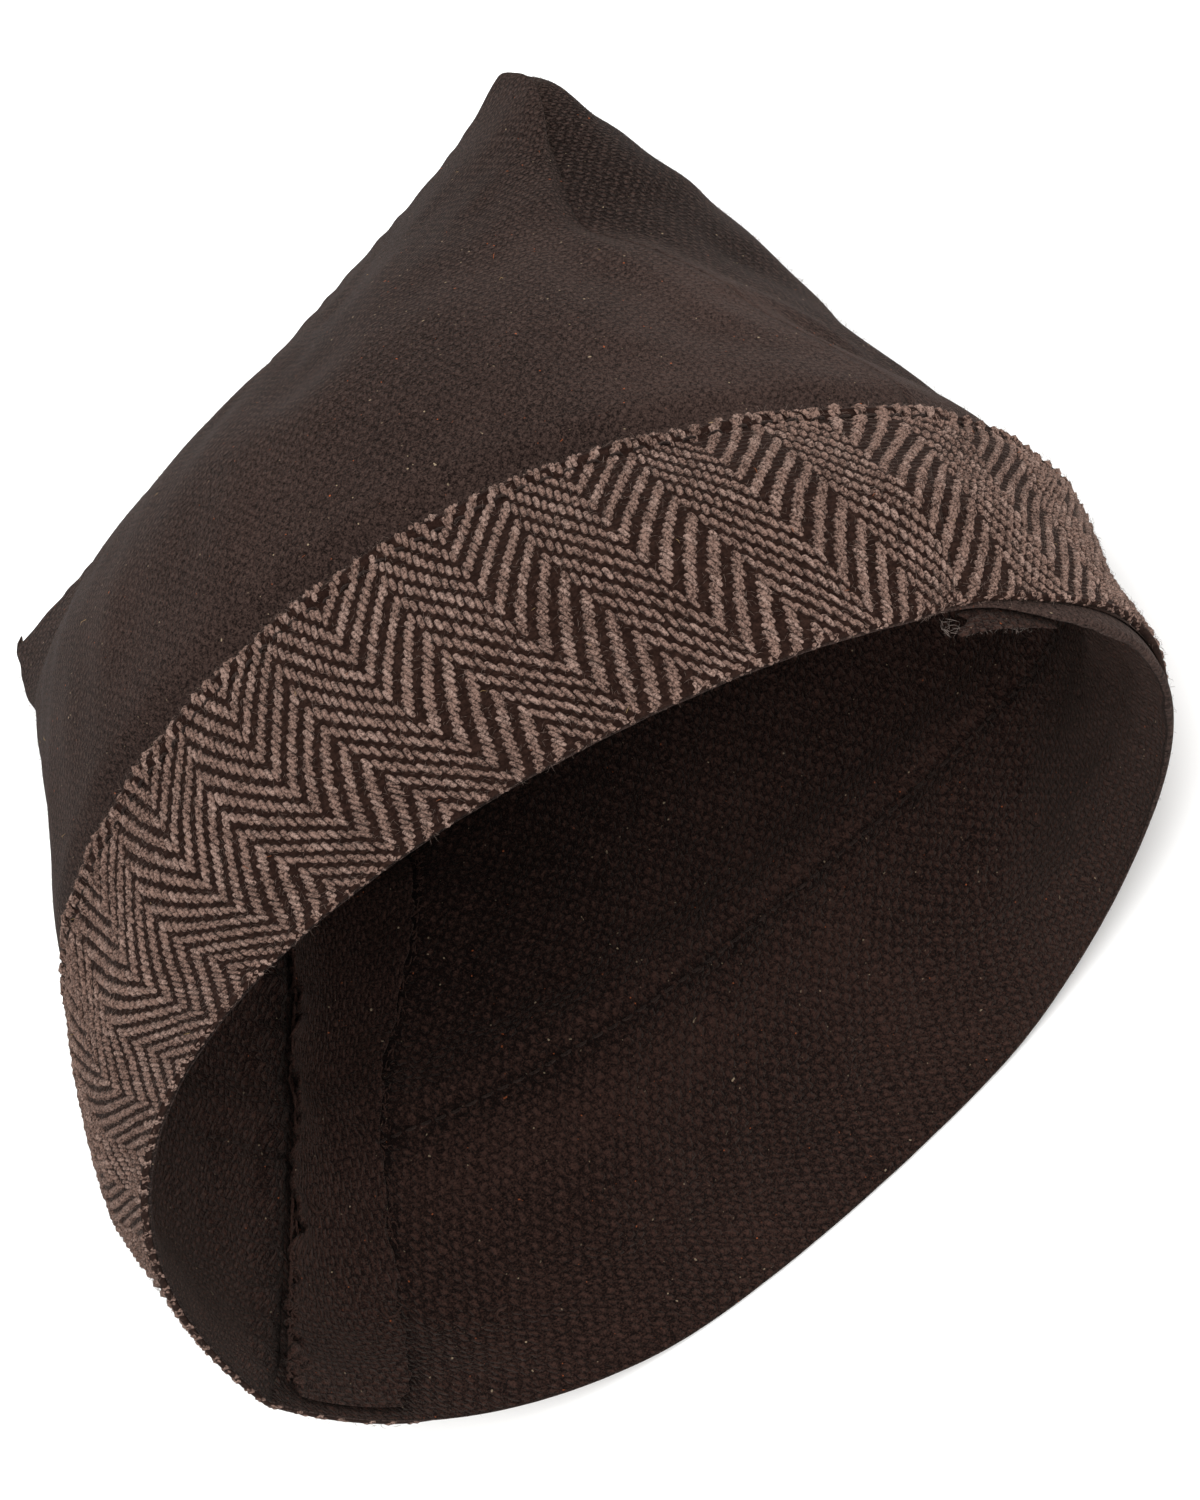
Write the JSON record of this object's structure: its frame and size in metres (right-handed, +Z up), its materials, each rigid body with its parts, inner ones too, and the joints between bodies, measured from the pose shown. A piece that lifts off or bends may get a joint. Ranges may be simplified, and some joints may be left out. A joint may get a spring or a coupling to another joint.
{
  "type": "soft wool cap with herringbone band",
  "caption": "Soft bag-shaped wool cap with a straight top ridge, two corner ears and a herringbone band round the rim, lying on its back with the head opening in view.",
  "frame": {"origin": "centre of the footprint of the cap as it lies on its back panel, on the resting surface", "axes": "+Z up from the surface it lies on, +X from the left side seam to the right side seam, +Y from the head opening towards the top ridge"},
  "size_m": [0.2164, 0.1802, 0.1538],
  "materials": {
    "brown_wool": "dark brown tabby-woven wool, matt with a light fuzz",
    "herringbone_wool": "taupe and dark brown herringbone twill wool, matt"
  },
  "bodies": {
    "root": {"crown_front_panel": "brown_wool", "crown_back_panel": "brown_wool", "herringbone_band": "herringbone_wool", "left_seam_allowance": "brown_wool", "right_seam_allowance": "brown_wool"}
  },
  "joints": []
}
